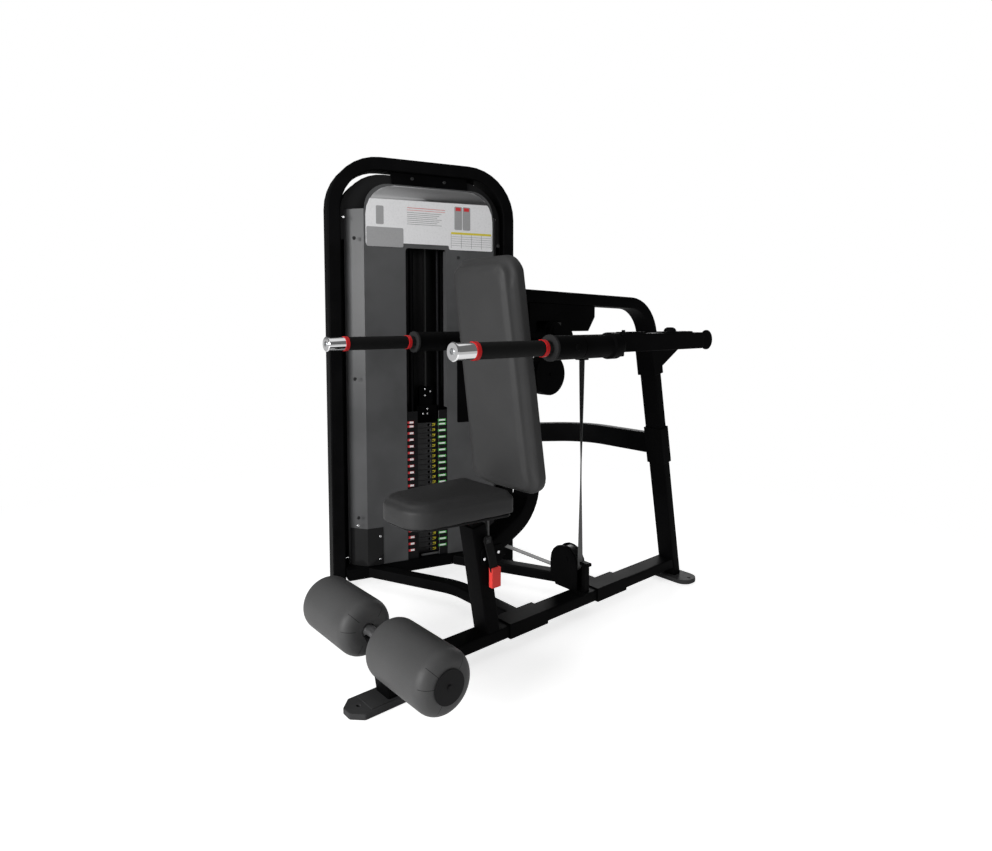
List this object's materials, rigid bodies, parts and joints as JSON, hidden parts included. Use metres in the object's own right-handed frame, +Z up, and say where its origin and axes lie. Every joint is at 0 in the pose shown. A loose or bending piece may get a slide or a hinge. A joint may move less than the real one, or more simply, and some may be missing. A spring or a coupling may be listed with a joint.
{
  "type": "seated dip machine",
  "caption": "Selectorised seated dip machine: curved weight-stack tower with shroud and placard, padded seat and back, pivoting press arms with grips, foam leg rollers and belt drive.",
  "frame": {"origin": "on the floor under the middle of the foam rollers' axle, in the main beam's centre plane", "axes": "+Z up, +Y to the rear along the main beam, +X to the seated user's left; the tower stands on -X"},
  "size_m": [1.1396, 1.45, 1.591],
  "materials": {
    "black_paint": "satin black powder coat",
    "grey_paint": "satin dark grey powder coat",
    "black_plastic": "satin black plastic",
    "grey_plastic": "satin mid grey sheet",
    "vinyl": "fine-grained black-grey vinyl, matt",
    "black_rubber": "matt black rubber",
    "chrome": "polished chrome",
    "bare_steel": "ground steel",
    "red_plastic": "satin red",
    "print": null,
    "plate_iron": "black-painted plates",
    "zinc": "silver grey"
  },
  "bodies": {
    "frame": {"front_foot": "grey_paint", "front_post": "black_paint", "frame_tube": "black_paint", "rear_foot": "grey_paint", "main_beam": "black_paint", "top_saddle": "black_paint", "seat_post": "black_paint", "back_tube": "black_paint", "front_cross_tube": "black_paint", "rear_cross_tube": "black_paint", "mid_brace": "black_paint", "pivot_hanger": "black_paint", "roller_axle": "bare_steel", "back_pad": "vinyl", "back_board": "black_plastic", "pulley_yoke": "black_paint", "tower_frame": "black_paint", "tower_foot_left": "black_rubber", "tower_foot_right": "black_rubber", "tower_base": "black_paint", "base_pulley_yoke": "black_paint", "head_bracket": "black_paint", "front_shroud": "grey_plastic", "rear_shell": "black_plastic", "placard": "print", "label_carrier_left": "black_plastic", "label_carrier_right": "black_plastic", "window_sill": "print", "corner_guard_left": "zinc", "corner_guard_right": "zinc", "guide_rod_left": "bare_steel", "guide_rod_right": "bare_steel", "stack_lower": "plate_iron", "belt_front": "black_rubber", "belt_run": "black_rubber", "belt_stack": "black_rubber"},
    "press_arms": {"arm_yoke": "black_paint", "counterweight": "black_paint", "press_arm_left": "black_paint", "press_arm_right": "black_paint", "handle_tube_left": "chrome", "handle_tube_right": "chrome", "handle_grip_left": "black_rubber", "handle_grip_right": "black_rubber"},
    "lifted_stack": {"stack_lifted": "plate_iron", "stack_carriage": "black_paint"},
    "pin": {"selector_pin": "chrome"},
    "lower_wheel": {"lower_pulley": "black_plastic"},
    "base_wheel": {"base_pulley": "black_plastic"},
    "head_wheel_1": {"head_pulley_1": "black_plastic"},
    "head_wheel_2": {"head_pulley_2": "black_plastic"},
    "seat": {"seat_slider": "black_paint", "seat_board": "black_plastic", "seat_pad": "vinyl"},
    "latch": {"seat_latch": "zinc", "latch_grip": "red_plastic"},
    "left_roller": {"foam_roller_left": "vinyl", "roller_cap_left": "black_plastic"},
    "right_roller": {"foam_roller_right": "vinyl", "roller_cap_right": "black_plastic"}
  },
  "joints": [
    {"name": "arm_press", "type": "hinge", "parent": "frame", "child": "press_arms", "pos_m": [0, 0.605, 0.967], "axis": [1, 0, 0], "range_deg": [0, 30]},
    {"name": "stack_lift", "type": "slide", "parent": "frame", "child": "lifted_stack", "axis": [0, 0, 1], "range_m": [0, 0.105], "deforming": ["belt_front", "belt_stack"]},
    {"name": "pin_slide", "type": "slide", "parent": "lifted_stack", "child": "pin", "axis": [0.9637, -0.2671, 0], "range_m": [0, 0.03]},
    {"name": "lower_pulley_spin", "type": "hinge", "parent": "frame", "child": "lower_wheel", "pos_m": [-0.045, 0.781, 0.186], "axis": [0, 1, 0], "range_deg": [-135, 0]},
    {"name": "base_pulley_spin", "type": "hinge", "parent": "frame", "child": "base_wheel", "pos_m": [-0.59382, 0.781, 0.171], "axis": [0, 1, 0], "range_deg": [-200, 0]},
    {"name": "head_pulley_1_spin", "type": "hinge", "parent": "frame", "child": "head_wheel_1", "pos_m": [-0.65497, 0.65772, 1.44], "axis": [0.9637, -0.2671, 0], "range_deg": [-135, 0]},
    {"name": "head_pulley_2_spin", "type": "hinge", "parent": "frame", "child": "head_wheel_2", "pos_m": [-0.62903, 0.75129, 1.44], "axis": [0.9637, -0.2671, 0], "range_deg": [-135, 0]},
    {"name": "seat_height", "type": "slide", "parent": "frame", "child": "seat", "axis": [0, -0.1676, 0.9859], "range_m": [0, 0.12]},
    {"name": "seat_latch_swing", "type": "hinge", "parent": "frame", "child": "latch", "pos_m": [0.0465, 0.334, 0.372], "axis": [1, 0, 0], "range_deg": [0, 18], "stiffness_Nm_per_rad": 1.2, "springref_deg": -5.73},
    {"name": "left_roller_spin", "type": "hinge", "parent": "frame", "child": "left_roller", "pos_m": [0, 0, 0.177], "axis": [1, 0, 0], "continuous": true},
    {"name": "right_roller_spin", "type": "hinge", "parent": "frame", "child": "right_roller", "pos_m": [0, 0, 0.177], "axis": [1, 0, 0], "continuous": true}
  ],
  "couplings": [
    {"joint": "stack_lift", "follows": "arm_press", "m_per_rad": 0.193},
    {"joint": "lower_pulley_spin", "follows": "arm_press", "ratio": -4.298},
    {"joint": "base_pulley_spin", "follows": "arm_press", "ratio": -6.455},
    {"joint": "head_pulley_1_spin", "follows": "arm_press", "ratio": -4.298},
    {"joint": "head_pulley_2_spin", "follows": "arm_press", "ratio": -4.298}
  ]
}
